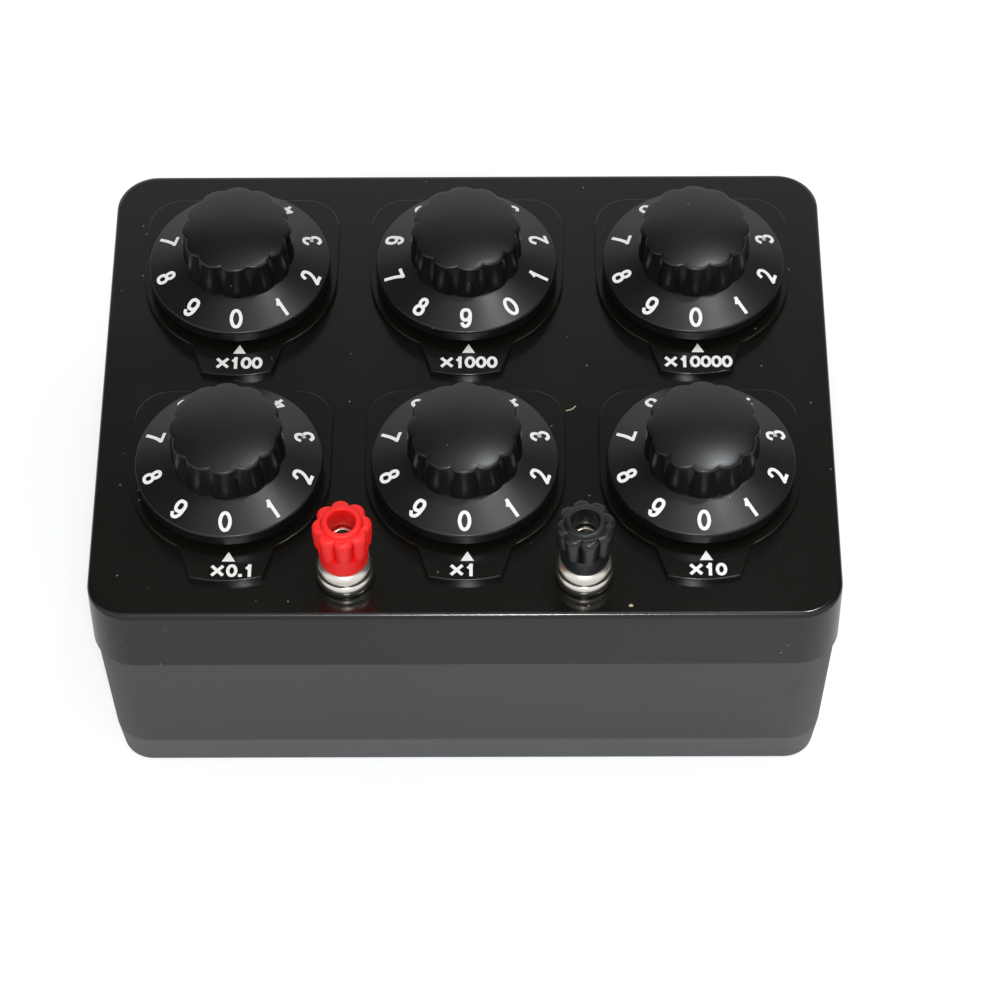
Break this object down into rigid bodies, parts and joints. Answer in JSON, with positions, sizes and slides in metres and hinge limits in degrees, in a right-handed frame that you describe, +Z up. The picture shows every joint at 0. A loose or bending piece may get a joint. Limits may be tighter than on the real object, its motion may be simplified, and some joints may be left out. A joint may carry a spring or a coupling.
{
  "type": "decade resistance box",
  "caption": "Bench resistance box: rotary decade dials with fluted handles on raised plates, and two capped terminal posts, in a two-part moulded case.",
  "frame": {"origin": "middle of the underside of the base, on the surface that the box rests on", "axes": "+X along the front from left to right, +Y from the terminals to the back row of dials, +Z up through the panel"},
  "size_m": [0.1656, 0.1256, 0.0845],
  "materials": {
    "cover_black": "glossy moulded",
    "base_grey": "satin moulded",
    "dial_black": "satin moulded",
    "figure_white": "printed figures",
    "cap_red": "satin moulded",
    "cap_black": "satin moulded",
    "nickel": "bright nickel plate on brass",
    "zinc_steel": "zinc plated",
    "phenolic": "pressed laminate",
    "resistor_film": "lacquered",
    "wire_insulation": "smooth"
  },
  "bodies": {
    "case": {"base_tray": "base_grey", "top_cover": "cover_black", "wiring_harness": "wire_insulation", "case_screw_1": "zinc_steel", "case_screw_2": "zinc_steel", "case_screw_3": "zinc_steel", "case_screw_4": "zinc_steel", "panel_nut_x0_1": "nickel", "panel_nut_x1": "nickel", "panel_nut_x10": "nickel", "panel_nut_x100": "nickel", "panel_nut_x1000": "nickel", "panel_nut_x10000": "nickel", "switch_body_x0_1": "zinc_steel", "switch_body_x1": "zinc_steel", "switch_body_x10": "zinc_steel", "switch_body_x100": "zinc_steel", "switch_body_x1000": "zinc_steel", "switch_body_x10000": "zinc_steel", "contact_wafer_x0_1": "phenolic", "contact_wafer_x1": "phenolic", "contact_wafer_x10": "phenolic", "contact_wafer_x100": "phenolic", "contact_wafer_x1000": "phenolic", "contact_wafer_x10000": "phenolic", "resistor_chain_x0_1": "resistor_film", "resistor_chain_x1": "resistor_film", "resistor_chain_x10": "resistor_film", "resistor_chain_x100": "resistor_film", "resistor_chain_x1000": "resistor_film", "resistor_chain_x10000": "resistor_film", "red_post_stud": "nickel", "red_post_lug": "nickel", "red_post_nut": "nickel", "black_post_stud": "nickel", "black_post_lug": "nickel", "black_post_nut": "nickel"},
    "dial_x0_1": {"dial_knob_x0_1": "dial_black", "grub_screw_x0_1": "zinc_steel", "switch_shaft_x0_1": "nickel"},
    "dial_x1": {"dial_knob_x1": "dial_black", "grub_screw_x1": "zinc_steel", "switch_shaft_x1": "nickel"},
    "dial_x10": {"dial_knob_x10": "dial_black", "grub_screw_x10": "zinc_steel", "switch_shaft_x10": "nickel"},
    "dial_x100": {"dial_knob_x100": "dial_black", "grub_screw_x100": "zinc_steel", "switch_shaft_x100": "nickel"},
    "dial_x1000": {"dial_knob_x1000": "dial_black", "grub_screw_x1000": "zinc_steel", "switch_shaft_x1000": "nickel"},
    "dial_x10000": {"dial_knob_x10000": "dial_black", "grub_screw_x10000": "zinc_steel", "switch_shaft_x10000": "nickel"},
    "red_collar": {"red_post_collar": "nickel"},
    "red_cap": {"red_post_cap": "cap_red"},
    "black_collar": {"black_post_collar": "nickel"},
    "black_cap": {"black_post_cap": "cap_black"}
  },
  "joints": [
    {"name": "dial_x0_1_turn", "type": "hinge", "parent": "case", "child": "dial_x0_1", "pos_m": [-0.0522, -0.0254, 0.064], "axis": [0, 0, 1], "continuous": true},
    {"name": "dial_x1_turn", "type": "hinge", "parent": "case", "child": "dial_x1", "pos_m": [0, -0.0254, 0.064], "axis": [0, 0, 1], "continuous": true},
    {"name": "dial_x10_turn", "type": "hinge", "parent": "case", "child": "dial_x10", "pos_m": [0.0522, -0.0254, 0.064], "axis": [0, 0, 1], "continuous": true},
    {"name": "dial_x100_turn", "type": "hinge", "parent": "case", "child": "dial_x100", "pos_m": [-0.0522, 0.0306, 0.064], "axis": [0, 0, 1], "continuous": true},
    {"name": "dial_x1000_turn", "type": "hinge", "parent": "case", "child": "dial_x1000", "pos_m": [0, 0.0306, 0.064], "axis": [0, 0, 1], "continuous": true},
    {"name": "dial_x10000_turn", "type": "hinge", "parent": "case", "child": "dial_x10000", "pos_m": [0.0522, 0.0306, 0.064], "axis": [0, 0, 1], "continuous": true},
    {"name": "red_post_rise", "type": "slide", "parent": "case", "child": "red_collar", "axis": [0, 0, 1], "range_m": [0, 0.004]},
    {"name": "red_post_turn", "type": "hinge", "parent": "red_collar", "child": "red_cap", "pos_m": [-0.0261, -0.0514, 0.064], "axis": [0, 0, 1], "continuous": true},
    {"name": "black_post_rise", "type": "slide", "parent": "case", "child": "black_collar", "axis": [0, 0, 1], "range_m": [0, 0.004]},
    {"name": "black_post_turn", "type": "hinge", "parent": "black_collar", "child": "black_cap", "pos_m": [0.0261, -0.0514, 0.064], "axis": [0, 0, 1], "continuous": true}
  ],
  "couplings": [
    {"joint": "red_post_turn", "follows": "red_post_rise", "rad_per_m": 6283.2},
    {"joint": "black_post_turn", "follows": "black_post_rise", "rad_per_m": 6283.2}
  ]
}
